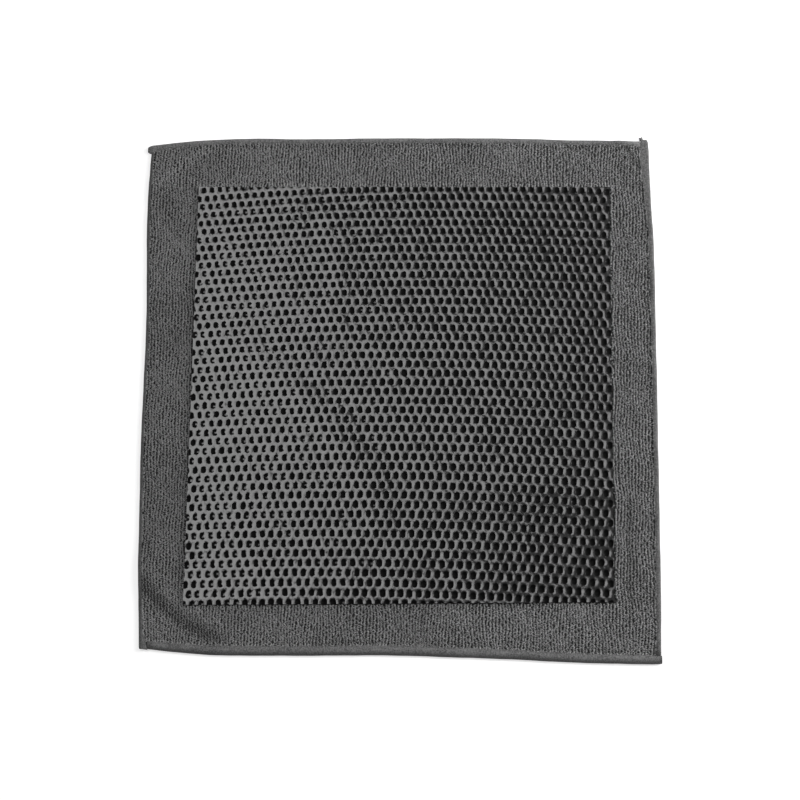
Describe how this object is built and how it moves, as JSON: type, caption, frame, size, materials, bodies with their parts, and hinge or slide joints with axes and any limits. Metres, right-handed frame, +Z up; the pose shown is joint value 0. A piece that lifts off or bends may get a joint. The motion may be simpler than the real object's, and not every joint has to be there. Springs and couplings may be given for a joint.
{
  "type": "clay towel",
  "caption": "Square looped cloth with a pitted clay layer bonded to its middle and a narrow tape binding sewn round its edges; wiped over wet paint to lift grime.",
  "frame": {"origin": "on the surface the towel lies on, under the middle of its outer box", "axes": "+Z up out of the clay side; +Y towards the edge that lies furthest from the viewer; +X to the viewer's right"},
  "size_m": [0.301, 0.3122, 0.0053],
  "materials": {
    "cloth": "mid grey looped microfibre, ribbed one way",
    "clay": "black moulded clay rubber, soft gloss, staggered oval pits",
    "binding": "dark grey narrow woven tape, folded and stitched"
  },
  "bodies": {
    "root": {"cloth": "cloth", "clay_layer": "clay", "binding_top": "binding", "binding_left": "binding", "binding_bottom": "binding", "binding_right": "binding"}
  },
  "joints": []
}
